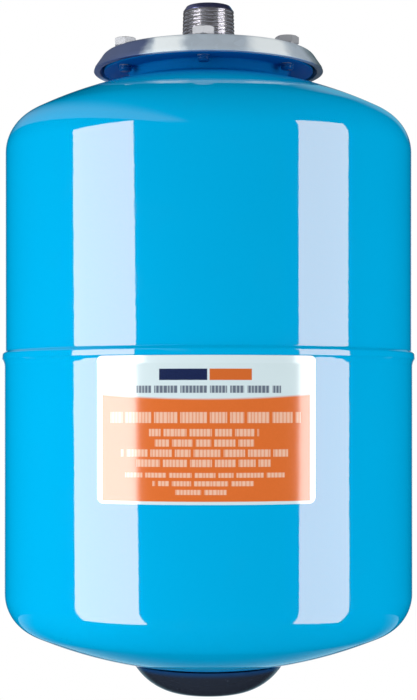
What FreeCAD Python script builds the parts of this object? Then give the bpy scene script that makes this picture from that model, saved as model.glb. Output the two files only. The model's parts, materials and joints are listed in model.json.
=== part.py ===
# Accumulator tank for a water line: an 8 litre steel vessel that hangs from a threaded nipple,
# with a rubber bladder clamped under a bolted cover and an air valve under a black cover.
# Millimetres. The origin is on the tank's axis where the nipple leaves the cover's flat top,
# +Z runs up along the nipple and -Y is the front, where the label is.
import FreeCAD, Part

import math
import os

# Shell: two dished heads of one sheet
upper_r = 99.7
lower_shell_wider_by = 0.5
sheet = 1.2
top_crown_r = 193.0
bottom_crown_r = 217.0
knuckle_r = 21.0
straight_length = 214.8

# Neck drawn up from the top head, and its lip
neck_r = 39.0
neck_height = 5.1
neck_root_flare = 1.6
lip_width = 12.5
lip_bend = 1.5

# Lap seam: the upper shell's belled rim over the lower shell's rim
seam_below_top_tangent = 96.8
joggle_length = 2.0
rim_length = 1.9
lap_gap = 0.05
lap_end_gap = 0.1
weld_leg = 3.9
weld_step = 0.2

# Recess that the air valve stands in
recess_r = 18.0
recess_depth = 7.0
recess_edge_bend = 1.5
recess_floor_bend = 1.5

# Threaded ring under the cover
ring_bead_gap = 0.4
ring_inside_lip_edge = 0.9
ring_height = 4.8
ring_skirt_gap = 0.7

# Cover: a pressed dish of galvanised plate
cover_thickness = 3.0
cover_height = 9.12
cover_past_lip = 5.2
cover_band_height = 1.8
cover_band_slope = 18.0
cover_skirt_slope = 34.5
cover_bend_r = 5.0
cover_bend_steps = 2

# Bolts
bolt_count = 6
bolt_circle_past_neck = 6.0
bolt_first_angle = -93.0
bolt_r = 3.0
bolt_length = 12.0
bolt_head_flats = 10.0
bolt_head_height = 4.0
bolt_head_chamfer_angle = 30.0
bolt_tip_chamfer = 0.6
bolt_hole_r = 3.3
thread_gap = 0.05

# Inlet nipple
nipple_r = 13.2
nipple_spigot_r = 13.5
nipple_length = 23.6
nipple_bore_r = 9.5
nipple_lead_length = 2.4
nipple_lead_depth = 2.3
nipple_bore_chamfer = 0.8
nipple_shoulder_r = 16.5
nipple_shoulder_height = 2.5
nipple_weld_leg = 2.5
nipple_gap = 0.05

# Bladder
bladder_wall = 2.0
bead_bolt_gap = 0.2
bladder_mouth_length = 22.0
bladder_bag_r = 64.0
bladder_bag_top = 62.0
bladder_bag_bottom = 188.0
bladder_end_r = 24.0
bladder_depth = 236.0
rubber_gap = 0.05

# Air valve: stem, gasket, washer and nut
valve_stem_r = 5.0
valve_hole_gap = 0.2
valve_base_r = 9.0
valve_base_height = 2.5
valve_tail_r = 4.0
valve_tail_height = 5.0
gasket_height = 1.5
gasket_r = 9.5
washer_r = 9.0
washer_height = 1.0
nut_flats = 14.0
nut_height = 4.5
nut_chamfer_angle = 30.0
stem_past_nut = 1.0
valve_tip_r = 3.85
valve_tip_length = 9.0
valve_tip_chamfer = 0.4

# Valve core
core_thread_r = 2.65
core_thread_depth = 6.0
core_seat_height = 0.8
core_bore_r = 2.2
core_gap = 0.05
core_recess = 0.4
core_plug_length = 4.4
core_barrel_r = 2.0
core_barrel_length = 15.5
core_plug_hole_r = 1.0
core_chamber_r = 1.35
core_shoulder_height = 2.0
core_shoulder_hole_r = 0.75
core_seal_height = 1.3

# Valve pin, its seal and its spring
pin_r = 0.5
pin_recess = 0.3
pin_travel = 1.0
pin_collar_r = 1.1
pin_collar_height = 0.8
pin_collar_from_chamber = 1.4
pin_cup_r = 1.9
pin_cup_height = 1.2
pin_seal_height = 0.8
pin_seal_gap = 0.05
spring_wire_r = 0.15
spring_r = 0.93
spring_turns = 6
spring_sides = 8

# Dust cap on the valve
dust_cap_wall = 1.3
dust_cap_end = 1.1
dust_cap_skirt_gap = 0.6
dust_cap_thread_gap = 0.05
dust_cap_sides = 12
dust_seal_height = 0.6

# Black cover over the valve
cap_depth = 12.43
cap_flat_r = 11.0
cap_round_r = 30.0
cap_round_steps = 4
cap_wall_slope = 35.0
cap_wall = 1.6
cap_gap = 0.3
cap_finger_count = 4
cap_finger_angle = 58.0
cap_finger_wall = 1.4
cap_finger_gap = 0.3

# Label
label_thickness = 0.25
label_gap = 0.02
label_top_below_rim = 0.4
label_height = 65.5
label_half_angle = 28.85
label_centre_angle = -90.65
label_corner_r = 3.0

# Radii and heights that the parts share
lower_r = upper_r + lower_shell_wider_by
lip_r = neck_r + lip_width
bolt_circle_r = neck_r + bolt_circle_past_neck
bladder_bead_r = bolt_circle_r - bolt_r - bead_bolt_gap
ring_inner_r = bladder_bead_r + ring_bead_gap
ring_outer_r = lip_r - ring_inside_lip_edge
cover_edge_r = lip_r + cover_past_lip
cover_under = -cover_thickness
lip_top = cover_under - ring_height
lip_under = lip_top - sheet
top_crown_z = lip_under - neck_height - math.sqrt(top_crown_r ** 2 - neck_r ** 2)
upper_knuckle_at = upper_r - knuckle_r
lower_knuckle_at = lower_r - knuckle_r
top_tangent_z = top_crown_z + math.sqrt((top_crown_r - knuckle_r) ** 2 - upper_knuckle_at ** 2)
bottom_tangent_z = top_tangent_z - straight_length
bottom_crown_z = bottom_tangent_z + math.sqrt(
    (bottom_crown_r - knuckle_r) ** 2 - lower_knuckle_at ** 2
)
bottom_apex_z = bottom_crown_z - bottom_crown_r
crease_z = top_tangent_z - seam_below_top_tangent
rim_r = lower_r + lap_gap + sheet
rim_top_z = crease_z - joggle_length
rim_edge_z = rim_top_z - rim_length
weld_foot_z = rim_edge_z - weld_leg
recess_floor_z = bottom_apex_z + recess_depth
valve_hole_r = valve_stem_r + valve_hole_gap

gasket_under = recess_floor_z + sheet
base_under = gasket_under + gasket_height
tail_top = base_under + valve_base_height + valve_tail_height
washer_under = recess_floor_z - washer_height
nut_under = washer_under - nut_height
stem_step_z = nut_under - stem_past_nut
valve_end_z = stem_step_z - valve_tip_length
plug_under = valve_end_z + core_recess
plug_top = plug_under + core_plug_length
barrel_top = plug_top + core_barrel_length
chamber_top = barrel_top - core_shoulder_height
collar_under = plug_top + pin_collar_from_chamber
collar_top = collar_under + pin_collar_height
seat_under = valve_end_z + core_thread_depth
dust_cap_inside_z = valve_end_z - dust_seal_height
dust_cap_end_z = dust_cap_inside_z - dust_cap_end
cap_end_z = bottom_apex_z - cap_depth


def point(r, z):
    return FreeCAD.Vector(r, 0, z)


def line(start, end):
    return Part.LineSegment(point(*start), point(*end)).toShape()


def arc(centre, radius, start_deg, end_deg):
    """An arc in the RZ plane; angles are measured from +R towards +Z."""
    places = []
    for angle in (start_deg, (start_deg + end_deg) / 2, end_deg):
        turn = math.radians(angle)
        places.append(point(centre[0] + radius * math.cos(turn), centre[1] + radius * math.sin(turn)))
    return Part.Arc(*places).toShape()


def chain(corners):
    """Straight edges through (r, z) corners."""
    return [line(start, end) for start, end in zip(corners, corners[1:])]


def stepped(centre, radius, start_deg, end_deg, steps):
    """Corners along an arc in the RZ plane, its ends among them."""
    corners = []
    for k in range(steps + 1):
        turn = math.radians(start_deg + (end_deg - start_deg) * k / steps)
        corners.append((centre[0] + radius * math.cos(turn), centre[1] + radius * math.sin(turn)))
    return corners


def turned(edges, angle=360.0, start_angle=0.0):
    """Turns an outline in the RZ plane about the Z axis into a solid."""
    face = Part.Face(Part.Wire(edges))
    solid = face.revolve(FreeCAD.Vector(0, 0, 0), FreeCAD.Vector(0, 0, 1), angle)
    solid.rotate(FreeCAD.Vector(0, 0, 0), FreeCAD.Vector(0, 0, 1), start_angle)
    return solid


def lathe(corners, **turning):
    """Turns a closed outline of (r, z) corners."""
    return turned(chain(corners + corners[:1]), **turning)


def pressed(face_edges, thickness):
    """A turned sheet: the edges draw one of its faces, and it is that thick beside it."""
    mitred = 2
    section = Part.Wire(face_edges).makeOffset2D(thickness, mitred, True, True)
    return section.revolve(FreeCAD.Vector(0, 0, 0), FreeCAD.Vector(0, 0, 1), 360)


def round_bar(radius, bottom, top):
    return Part.makeCylinder(radius, top - bottom, FreeCAD.Vector(0, 0, bottom))


def hexagon(flats, bottom, top, chamfer_angle, chamfered_ends):
    """A hexagonal prism whose named ends are turned down at the corners."""
    corner_r = flats / 2 / math.cos(math.pi / 6)
    corners = [
        FreeCAD.Vector(corner_r * math.cos(k * math.pi / 3), corner_r * math.sin(k * math.pi / 3), bottom)
        for k in range(7)
    ]
    prism = Part.Face(Part.makePolygon(corners)).extrude(FreeCAD.Vector(0, 0, top - bottom))
    drop = (corner_r - flats / 2) * math.tan(math.radians(chamfer_angle))
    outer = corner_r + 1.0
    outer_drop = drop + math.tan(math.radians(chamfer_angle))
    profile = [(0, bottom)]
    if "bottom" in chamfered_ends:
        profile += [(flats / 2, bottom), (outer, bottom + outer_drop)]
    else:
        profile += [(outer, bottom)]
    if "top" in chamfered_ends:
        profile += [(outer, top - outer_drop), (flats / 2, top), (0, top)]
    else:
        profile += [(outer, top), (0, top)]
    return prism.common(lathe(profile))


def round_the_bolt_circle(tool):
    """Copies of a tool at every bolt's place."""
    copies = []
    for k in range(bolt_count):
        copy = tool.copy()
        angle = bolt_first_angle + k * 360.0 / bolt_count
        turn = math.radians(angle)
        copy.rotate(FreeCAD.Vector(0, 0, 0), FreeCAD.Vector(0, 0, 1), angle)
        copy.translate(FreeCAD.Vector(bolt_circle_r * math.cos(turn), bolt_circle_r * math.sin(turn), 0))
        copies.append(copy)
    return copies


def crown_place(crown_z, crown_r, r, sign):
    """The place on a dished head's crown at a radius; sign is 1 on top and -1 below."""
    return (r, crown_z + sign * math.sqrt(crown_r ** 2 - r ** 2))


def angle_of(r, z):
    return math.degrees(math.atan2(z, r))


def upper_shell():
    """Lip, neck, dished head, cylinder and belled rim, drawn from one sheet."""
    neck_foot = crown_place(top_crown_z, top_crown_r, neck_r, 1)
    crown_start = crown_place(top_crown_z, top_crown_r, neck_r + neck_root_flare, 1)
    start = angle_of(crown_start[0], crown_start[1] - top_crown_z)
    end = angle_of(upper_knuckle_at, top_tangent_z - top_crown_z)
    painted = chain([
        (lip_r, lip_under),
        (neck_r + lip_bend, lip_under),
        (neck_r, lip_under - lip_bend),
        (neck_r, neck_foot[1] + neck_root_flare),
        crown_start,
    ])
    painted.append(arc((0, top_crown_z), top_crown_r, start, end))
    painted.append(arc((upper_knuckle_at, top_tangent_z), knuckle_r, end, 0))
    painted += chain([
        (upper_r, top_tangent_z),
        (upper_r, crease_z),
        (rim_r, rim_top_z),
        (rim_r, rim_edge_z),
    ])
    shell = pressed(painted, -sheet)
    holes = round_the_bolt_circle(round_bar(bolt_hole_r, lip_under - 1, lip_top + 1))
    return shell.cut(Part.makeCompound(holes))


def lower_shell():
    """Cylinder, dished head and the recess round the air valve's hole."""
    edge_r = recess_r + recess_edge_bend
    edge = crown_place(bottom_crown_z, bottom_crown_r, edge_r, -1)
    start = angle_of(lower_knuckle_at, bottom_tangent_z - bottom_crown_z)
    end = angle_of(edge_r, edge[1] - bottom_crown_z)
    joggle_turn = math.atan((rim_r - upper_r) / joggle_length)
    lap_top_z = rim_top_z - sheet * math.tan(joggle_turn / 2) - lap_end_gap
    painted = chain([(lower_r, lap_top_z), (lower_r, bottom_tangent_z)])
    painted.append(arc((lower_knuckle_at, bottom_tangent_z), knuckle_r, 0, start))
    painted.append(arc((0, bottom_crown_z), bottom_crown_r, start, end))
    painted += chain([
        edge,
        (recess_r, edge[1] + recess_edge_bend),
        (recess_r, recess_floor_z - recess_floor_bend),
        (recess_r - recess_floor_bend, recess_floor_z),
        (valve_hole_r, recess_floor_z),
    ])
    return pressed(painted, -sheet)


def seam_weld():
    return lathe([
        (lower_r, rim_edge_z),
        (rim_r - weld_step, rim_edge_z),
        (lower_r, weld_foot_z),
    ])


def cover_face():
    """Corners of the cover's outer face, from the nipple's hole to a little past the skirt's edge."""
    band = math.tan(math.radians(cover_band_slope))
    skirt = math.tan(math.radians(cover_skirt_slope))
    band_top = -cover_height + cover_band_height
    band_top_r = cover_edge_r - cover_band_height * band
    corner_r = band_top_r + band_top * skirt
    reach = cover_bend_r * math.tan(math.radians(90 - cover_skirt_slope) / 2)
    bend = stepped((corner_r - reach, -cover_bend_r), cover_bend_r, 90, cover_skirt_slope, cover_bend_steps)
    past_edge = (cover_edge_r + cover_thickness * band, -cover_height - cover_thickness)
    return [(nipple_spigot_r + nipple_gap, 0), *bend, (band_top_r, band_top), past_edge]


def cover_flange():
    dish = pressed(chain(cover_face()), -cover_thickness)
    dish = dish.common(round_bar(2 * cover_edge_r, -cover_height, 0))
    holes = round_the_bolt_circle(round_bar(bolt_hole_r, cover_under - 1, 1))
    return dish.cut(Part.makeCompound(holes))


def clamp_ring():
    """A threaded ring whose upper corner is turned off to sit inside the cover's bend."""
    skirt = math.tan(math.radians(cover_skirt_slope))
    bend_start_r = cover_face()[1][0]
    top_r = bend_start_r - ring_skirt_gap
    ring = lathe([
        (ring_inner_r, lip_top),
        (ring_outer_r, lip_top),
        (ring_outer_r, cover_under - (ring_outer_r - top_r) / skirt),
        (top_r, cover_under),
        (ring_inner_r, cover_under),
    ])
    holes = round_the_bolt_circle(round_bar(bolt_r + thread_gap, lip_top - 1, cover_under + 1))
    return ring.cut(Part.makeCompound(holes))


def inlet_nipple():
    shoulder_under = cover_under - nipple_shoulder_height
    return lathe([
        (nipple_bore_r, shoulder_under),
        (nipple_shoulder_r, shoulder_under),
        (nipple_shoulder_r, cover_under),
        (nipple_spigot_r, cover_under),
        (nipple_spigot_r, 0),
        (nipple_r, 0),
        (nipple_r, nipple_length - nipple_lead_length),
        (nipple_r - nipple_lead_depth, nipple_length),
        (nipple_bore_r + nipple_bore_chamfer, nipple_length),
        (nipple_bore_r, nipple_length - nipple_bore_chamfer),
    ])


def nipple_weld():
    leg = nipple_weld_leg
    return lathe([
        (nipple_shoulder_r, cover_under - leg),
        (nipple_shoulder_r + leg, cover_under),
        (nipple_shoulder_r, cover_under),
    ])


def flange_bolts():
    head = hexagon(bolt_head_flats, 0, bolt_head_height, bolt_head_chamfer_angle, ["top"])
    shank = lathe([
        (0, -bolt_length),
        (bolt_r - bolt_tip_chamfer, -bolt_length),
        (bolt_r, -bolt_length + bolt_tip_chamfer),
        (bolt_r, 0),
        (0, 0),
    ])
    return Part.makeCompound(round_the_bolt_circle(head.fuse(shank).removeSplitter()))


def bladder():
    """A moulded bag: a bead clamped on the lip, a mouth down the neck and a long bag."""
    mouth_r = neck_r - sheet - rubber_gap
    inner_bend = lip_bend + sheet * (2 - math.sqrt(2))
    bag = pressed(chain([
        (mouth_r, lip_top - inner_bend),
        (mouth_r, lip_top - bladder_mouth_length),
        (bladder_bag_r, lip_top - bladder_bag_top),
        (bladder_bag_r, lip_top - bladder_bag_bottom),
        (bladder_end_r, lip_top - bladder_depth),
        (0, lip_top - bladder_depth),
    ]), -bladder_wall)
    bead = lathe([
        (mouth_r - bladder_wall, lip_top - inner_bend),
        (mouth_r, lip_top - inner_bend),
        (mouth_r + inner_bend, lip_top + rubber_gap),
        (bladder_bead_r, lip_top + rubber_gap),
        (bladder_bead_r, cover_under - rubber_gap),
        (mouth_r - bladder_wall, cover_under - rubber_gap),
    ])
    return bag.fuse(bead).removeSplitter()


def air_valve_body():
    body = lathe([
        (0, tail_top),
        (0, valve_end_z),
        (valve_tip_r - valve_tip_chamfer, valve_end_z),
        (valve_tip_r, valve_end_z + valve_tip_chamfer),
        (valve_tip_r, stem_step_z),
        (valve_stem_r, stem_step_z),
        (valve_stem_r, base_under),
        (valve_base_r, base_under),
        (valve_base_r, base_under + valve_base_height),
        (valve_tail_r, base_under + valve_base_height),
        (valve_tail_r, tail_top),
    ])
    bore = lathe([
        (0, valve_end_z - 1),
        (core_thread_r + core_gap, valve_end_z - 1),
        (core_thread_r + core_gap, seat_under),
        (core_bore_r, seat_under + core_seat_height),
        (core_bore_r, tail_top + 1),
        (0, tail_top + 1),
    ])
    return body.cut(bore)


def valve_gasket():
    return lathe([
        (valve_stem_r + rubber_gap, gasket_under),
        (gasket_r, gasket_under),
        (gasket_r, base_under),
        (valve_stem_r + rubber_gap, base_under),
    ])


def valve_washer():
    return lathe([
        (valve_hole_r, washer_under),
        (washer_r, washer_under),
        (washer_r, recess_floor_z),
        (valve_hole_r, recess_floor_z),
    ])


def valve_nut():
    nut = hexagon(nut_flats, nut_under, washer_under, nut_chamfer_angle, ["bottom"])
    return nut.cut(round_bar(valve_stem_r + thread_gap, nut_under - 1, washer_under + 1))


def valve_core():
    """The screwed plug and the long barrel below it, which holds the spring."""
    return lathe([
        (core_plug_hole_r, plug_under),
        (core_thread_r, plug_under),
        (core_thread_r, plug_top),
        (core_barrel_r, plug_top),
        (core_barrel_r, barrel_top),
        (core_shoulder_hole_r, barrel_top),
        (core_shoulder_hole_r, chamber_top),
        (core_chamber_r, chamber_top),
        (core_chamber_r, plug_top),
        (core_plug_hole_r, plug_top),
    ])


def valve_core_seal():
    seat_drop = core_thread_r - core_bore_r
    return lathe([
        (core_barrel_r + core_gap, seat_under - core_seal_height + core_seat_height),
        (core_thread_r - core_gap, seat_under - core_seal_height + core_seat_height),
        (core_thread_r - core_gap, seat_under - core_gap),
        (core_thread_r - seat_drop / 2 - core_gap, seat_under + core_seat_height / 2 - core_gap),
        (core_barrel_r + core_gap, seat_under + core_seat_height / 2 - core_gap),
    ])


def valve_pin():
    """The pin with the collar that the spring pushes on and the cup that shuts the barrel."""
    cup_under = barrel_top + pin_seal_gap + pin_seal_height
    return lathe([
        (0, valve_end_z + pin_recess),
        (pin_r, valve_end_z + pin_recess),
        (pin_r, collar_under),
        (pin_collar_r, collar_under),
        (pin_collar_r, collar_top),
        (pin_r, collar_top),
        (pin_r, cup_under),
        (pin_cup_r, cup_under),
        (pin_cup_r, cup_under + pin_cup_height),
        (0, cup_under + pin_cup_height),
    ])


def valve_pin_seal():
    under = barrel_top + pin_seal_gap
    return lathe([
        (pin_r, under),
        (pin_cup_r, under),
        (pin_cup_r, under + pin_seal_height),
        (pin_r, under + pin_seal_height),
    ])


def valve_spring():
    """A square-wire coil between the pin's collar and the barrel's shoulder."""
    wire = spring_wire_r
    start = collar_top + wire
    length = chamber_top - wire - start
    count = spring_turns * spring_sides
    rings = []
    for k in range(count + 1):
        turn = 2 * math.pi * k / spring_sides
        rings.append([
            FreeCAD.Vector(
                (spring_r + across) * math.cos(turn),
                (spring_r + across) * math.sin(turn),
                start + length * k / count + along,
            )
            for across, along in ((-wire, -wire), (wire, -wire), (wire, wire), (-wire, wire))
        ])
    faces = [Part.Face(Part.makePolygon(ring + ring[:1])) for ring in (rings[0], rings[-1])]
    for ring, following in zip(rings, rings[1:]):
        for side in range(4):
            a, b = ring[side - 1], ring[side]
            c, d = following[side], following[side - 1]
            faces.append(Part.Face(Part.makePolygon([a, b, c, a])))
            faces.append(Part.Face(Part.makePolygon([a, c, d, a])))
    return Part.Solid(Part.Shell(faces))


def dust_cap():
    """A screwed cap with flats for the fingers."""
    inside_r = valve_tip_r + dust_cap_thread_gap
    outside_r = inside_r + dust_cap_wall
    skirt_z = stem_step_z - dust_cap_skirt_gap
    corners = [
        FreeCAD.Vector(
            outside_r * math.cos(2 * math.pi * k / dust_cap_sides),
            outside_r * math.sin(2 * math.pi * k / dust_cap_sides),
            dust_cap_end_z,
        )
        for k in range(dust_cap_sides + 1)
    ]
    cap = Part.Face(Part.makePolygon(corners)).extrude(FreeCAD.Vector(0, 0, skirt_z - dust_cap_end_z))
    return cap.cut(round_bar(inside_r, dust_cap_inside_z, skirt_z + 1))


def dust_cap_seal():
    return round_bar(valve_tip_r - rubber_gap, dust_cap_inside_z, valve_end_z)


def valve_cover():
    """A thin bowl over the air valve, held by fingers round the valve's nut."""
    centre = (cap_flat_r, cap_end_z + cap_round_r)
    bowl_bend = stepped(centre, cap_round_r, -90, -cap_wall_slope, cap_round_steps)
    wall_start = bowl_bend[-1]
    slope = math.tan(math.radians(cap_wall_slope))
    inner_r = wall_start[0] - cap_wall * math.cos(math.radians(cap_wall_slope))
    rim_z = crown_place(bottom_crown_z, bottom_crown_r, inner_r, -1)[1] - cap_gap
    above = rim_z + cap_wall
    path = [(0, cap_end_z), *bowl_bend, (wall_start[0] + (above - wall_start[1]) * slope, above)]
    bowl = pressed(chain(path), cap_wall)
    bowl = bowl.common(round_bar(2 * cap_round_r, cap_end_z, rim_z))
    finger_r = nut_flats / 2 / math.cos(math.pi / 6) + cap_finger_gap
    for k in range(cap_finger_count):
        finger = lathe(
            [
                (finger_r, cap_end_z + cap_wall / 2),
                (finger_r + cap_finger_wall, cap_end_z + cap_wall / 2),
                (finger_r + cap_finger_wall, washer_under - cap_gap),
                (finger_r, washer_under - cap_gap),
            ],
            angle=cap_finger_angle,
            start_angle=k * 360.0 / cap_finger_count - cap_finger_angle / 2,
        )
        bowl = bowl.fuse(finger)
    return bowl.removeSplitter()


def rating_label():
    """A thin skin that starts on the seam weld and runs down the lower shell."""
    top = rim_edge_z - label_top_below_rim
    slope = (rim_r - weld_step - lower_r) / weld_leg
    top_r = lower_r + (top - weld_foot_z) * slope
    bottom = top - label_height
    skin = lathe(
        [
            (top_r + label_gap, top),
            (lower_r + label_gap, weld_foot_z),
            (lower_r + label_gap, bottom),
            (lower_r + label_gap + label_thickness, bottom),
            (lower_r + label_gap + label_thickness, weld_foot_z),
            (top_r + label_gap + label_thickness, top),
        ],
        angle=2 * label_half_angle,
        start_angle=label_centre_angle - label_half_angle,
    )
    half_width = (lower_r + label_thickness) * math.sin(math.radians(label_half_angle))
    plate = Part.makeBox(
        2 * half_width, lower_r, label_height, FreeCAD.Vector(-half_width, -1.5 * lower_r, bottom)
    )
    upright = [edge for edge in plate.Edges if abs(edge.tangentAt(edge.FirstParameter).y) > 0.9]
    plate = plate.makeFillet(label_corner_r, upright)
    plate.rotate(FreeCAD.Vector(0, 0, 0), FreeCAD.Vector(0, 0, 1), label_centre_angle + 90)
    return skin.common(plate)


parts = {
    "upper_shell": upper_shell,
    "lower_shell": lower_shell,
    "seam_weld": seam_weld,
    "clamp_ring": clamp_ring,
    "cover_flange": cover_flange,
    "inlet_nipple": inlet_nipple,
    "nipple_weld": nipple_weld,
    "flange_bolts": flange_bolts,
    "bladder": bladder,
    "air_valve_body": air_valve_body,
    "valve_gasket": valve_gasket,
    "valve_washer": valve_washer,
    "valve_nut": valve_nut,
    "valve_core": valve_core,
    "valve_core_seal": valve_core_seal,
    "valve_pin": valve_pin,
    "valve_pin_seal": valve_pin_seal,
    "valve_spring": valve_spring,
    "dust_cap": dust_cap,
    "dust_cap_seal": dust_cap_seal,
    "valve_cover": valve_cover,
    "rating_label": rating_label,
}

os.makedirs("parts", exist_ok=True)
for name, make in parts.items():
    make().exportStep(f"parts/{name}.step")
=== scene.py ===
# Accumulator tank for a water line, dressed round its packed frame.
# Metres, in the frame of the CAD: +Z runs up along the nipple and -Y is the front.
import json
import math

import bmesh
import bpy
from bpy.props import FloatProperty, FloatVectorProperty, IntProperty, PointerProperty
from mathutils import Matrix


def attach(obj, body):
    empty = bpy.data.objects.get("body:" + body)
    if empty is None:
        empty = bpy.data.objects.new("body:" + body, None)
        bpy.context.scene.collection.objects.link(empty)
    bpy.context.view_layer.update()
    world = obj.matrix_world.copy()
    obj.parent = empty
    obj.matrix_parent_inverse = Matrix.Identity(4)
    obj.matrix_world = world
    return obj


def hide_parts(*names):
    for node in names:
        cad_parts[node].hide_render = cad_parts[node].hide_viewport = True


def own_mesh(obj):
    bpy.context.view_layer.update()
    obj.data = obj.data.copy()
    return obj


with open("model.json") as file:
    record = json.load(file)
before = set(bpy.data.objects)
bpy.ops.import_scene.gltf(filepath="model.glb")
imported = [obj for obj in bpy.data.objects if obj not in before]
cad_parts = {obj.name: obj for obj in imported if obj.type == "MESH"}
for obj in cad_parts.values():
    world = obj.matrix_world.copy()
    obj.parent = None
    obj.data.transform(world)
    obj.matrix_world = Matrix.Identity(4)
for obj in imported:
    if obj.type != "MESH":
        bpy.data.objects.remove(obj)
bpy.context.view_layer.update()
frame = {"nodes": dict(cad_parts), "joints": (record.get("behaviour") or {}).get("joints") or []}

bl_info = {
    "name": "Accumulator Tank",
    "version": (1, 0, 0),
    "blender": (4, 5, 0),
    "location": "3D View > Sidebar > Tank",
    "description": "Shells, bolted cover, nipple, bladder, air valve and label of an accumulator tank",
    "category": "Add Mesh",
}

MM = 0.001
TURN = 2 * math.pi
ON_AXIS = 1e-7
BODY = "tank"
COVER_BODY = "cover"


def length(name, description, millimetres):
    return FloatProperty(
        name=name, description=description, default=millimetres * MM, min=0, unit="LENGTH", precision=5
    )


def height(name, description, millimetres):
    return FloatProperty(
        name=name, description=description, default=millimetres * MM, unit="LENGTH", precision=5
    )


def angle(name, description, degrees):
    return FloatProperty(name=name, description=description, default=math.radians(degrees), subtype="ANGLE")


def count(name, description, number):
    return IntProperty(name=name, description=description, default=number, min=1)


def amount(name, description, number):
    return FloatProperty(name=name, description=description, default=number, min=0)


def spot(name, description, x, y):
    return FloatVectorProperty(
        name=name, description=description, default=(x * MM, y * MM), size=2, unit="LENGTH", precision=4
    )


def colour(name, description, *tone):
    return FloatVectorProperty(
        name=name, description=description, default=tone, size=3, subtype="COLOR", min=0, max=1
    )


class ShellSizes(bpy.types.PropertyGroup):
    """Sizes of the two drawn shells and of the seam between them."""

    around: count("Segments", "Segments round a shell", 256)
    sheet: length("Sheet", "Thickness of the steel sheet", 1.2)
    upper_radius: length("Upper Radius", "Outside radius of the upper wall", 99.7)
    lower_radius: length("Lower Radius", "Outside radius of the lower wall", 100.2)
    knuckle: length("Knuckle", "Radius between a wall and its dished head", 21.0)
    top_tangent: height("Top Tangent", "Height where the upper wall ends", -50.1796)
    bottom_tangent: height("Bottom Tangent", "Height where the lower wall ends", -264.9796)
    top_crown: length("Top Crown", "Radius of the upper dished head", 193.0)
    top_crown_height: height("Top Crown Centre", "Height of the upper head's centre", -203.1185)
    bottom_crown: length("Bottom Crown", "Radius of the lower dished head", 217.0)
    bottom_crown_height: height("Bottom Crown Centre", "Height of the lower head's centre", -85.6939)
    lip_radius: length("Lip Radius", "Outside radius of the neck's lip", 51.5)
    lip_under: height("Lip Underside", "Height of the lip's underside", -9.0)
    neck_radius: length("Neck Radius", "Outside radius of the neck", 39.0)
    lip_bend: length("Lip Bend", "Bend radius between the lip and the neck", 1.5)
    neck_bend: length("Neck Bend", "Bend radius between the neck and the head", 1.6)
    neck_edge: length("Neck Edge", "Radius where the upper head's own curve starts", 42.0)
    crease: height("Crease", "Height where the rim starts to bell out", -146.9796)
    crease_bend: length("Crease Bend", "Bend radius of the crease", 0.7)
    rim_top: height("Rim Top", "Height where the belled rim turns down", -148.1)
    shoulder_radius: length("Shoulder Radius", "Outside radius where the rim turns down", 101.25)
    shoulder_bend: length("Shoulder Bend", "Bend radius where the rim turns down", 1.25)
    rim_edge: height("Rim Edge", "Height of the belled rim's edge", -150.8796)
    rim_radius: length("Rim Radius", "Outside radius of the belled rim", 101.45)
    lap_top: height("Lap Top", "Height of the lower shell's edge in the rim", -149.9)
    weld_foot: height("Weld Foot", "Height where the seam's weld ends on the wall", -154.7796)
    weld_around: count("Weld Segments", "Segments round the weld", 384)
    weld_ripple: length("Weld Ripple", "How far the weld's surface wanders", 0.05)
    weld_scallops: count("Weld Scallops", "Scallops round the weld's surface", 96)
    recess_radius: length("Recess Radius", "Radius of the recess round the air valve", 18.0)
    recess_edge: length("Recess Edge", "Radius where the lower head's own curve ends", 21.0)
    recess_bend: length("Recess Bend", "Bend radius of the recess's mouth", 1.6)
    recess_floor: height("Recess Floor", "Height of the recess's floor", -295.6939)
    floor_bend: length("Floor Bend", "Bend radius of the recess's floor", 1.5)
    valve_hole: length("Valve Hole", "Radius of the air valve's hole", 5.2)


class CoverSizes(bpy.types.PropertyGroup):
    """Sizes of the bolted cover plate."""

    around: count("Segments", "Segments round the cover", 224)
    hole: length("Hole", "Radius of the nipple's hole", 13.55)
    plate: length("Plate", "Thickness of the plate", 3.0)
    corner: length("Corner", "Radius where the flat top would meet the skirt", 51.084)
    bend: length("Bend", "Bend radius between the top and the skirt", 5.0)
    band_radius: length("Band Radius", "Outside radius where the skirt meets its edge band", 56.115)
    band_top: height("Band Top", "Height where the edge band starts", -7.32)
    band_bend: length("Band Bend", "Bend radius where the edge band starts", 0.5)
    edge_radius: length("Edge Radius", "Outside radius of the skirt's edge", 56.7)
    edge: height("Edge", "Height of the skirt's edge", -9.12)
    edge_bend: length("Edge Bend", "Radius of the edge's two corners", 0.35)
    inner_corner: length("Inner Corner", "Radius where the underside meets the skirt's inside", 49.506)
    inner_bend: length("Inner Bend", "Bend radius between the underside and the skirt", 2.0)
    inner_edge: length("Inner Edge", "Inside radius of the skirt's edge", 53.71)


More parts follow.
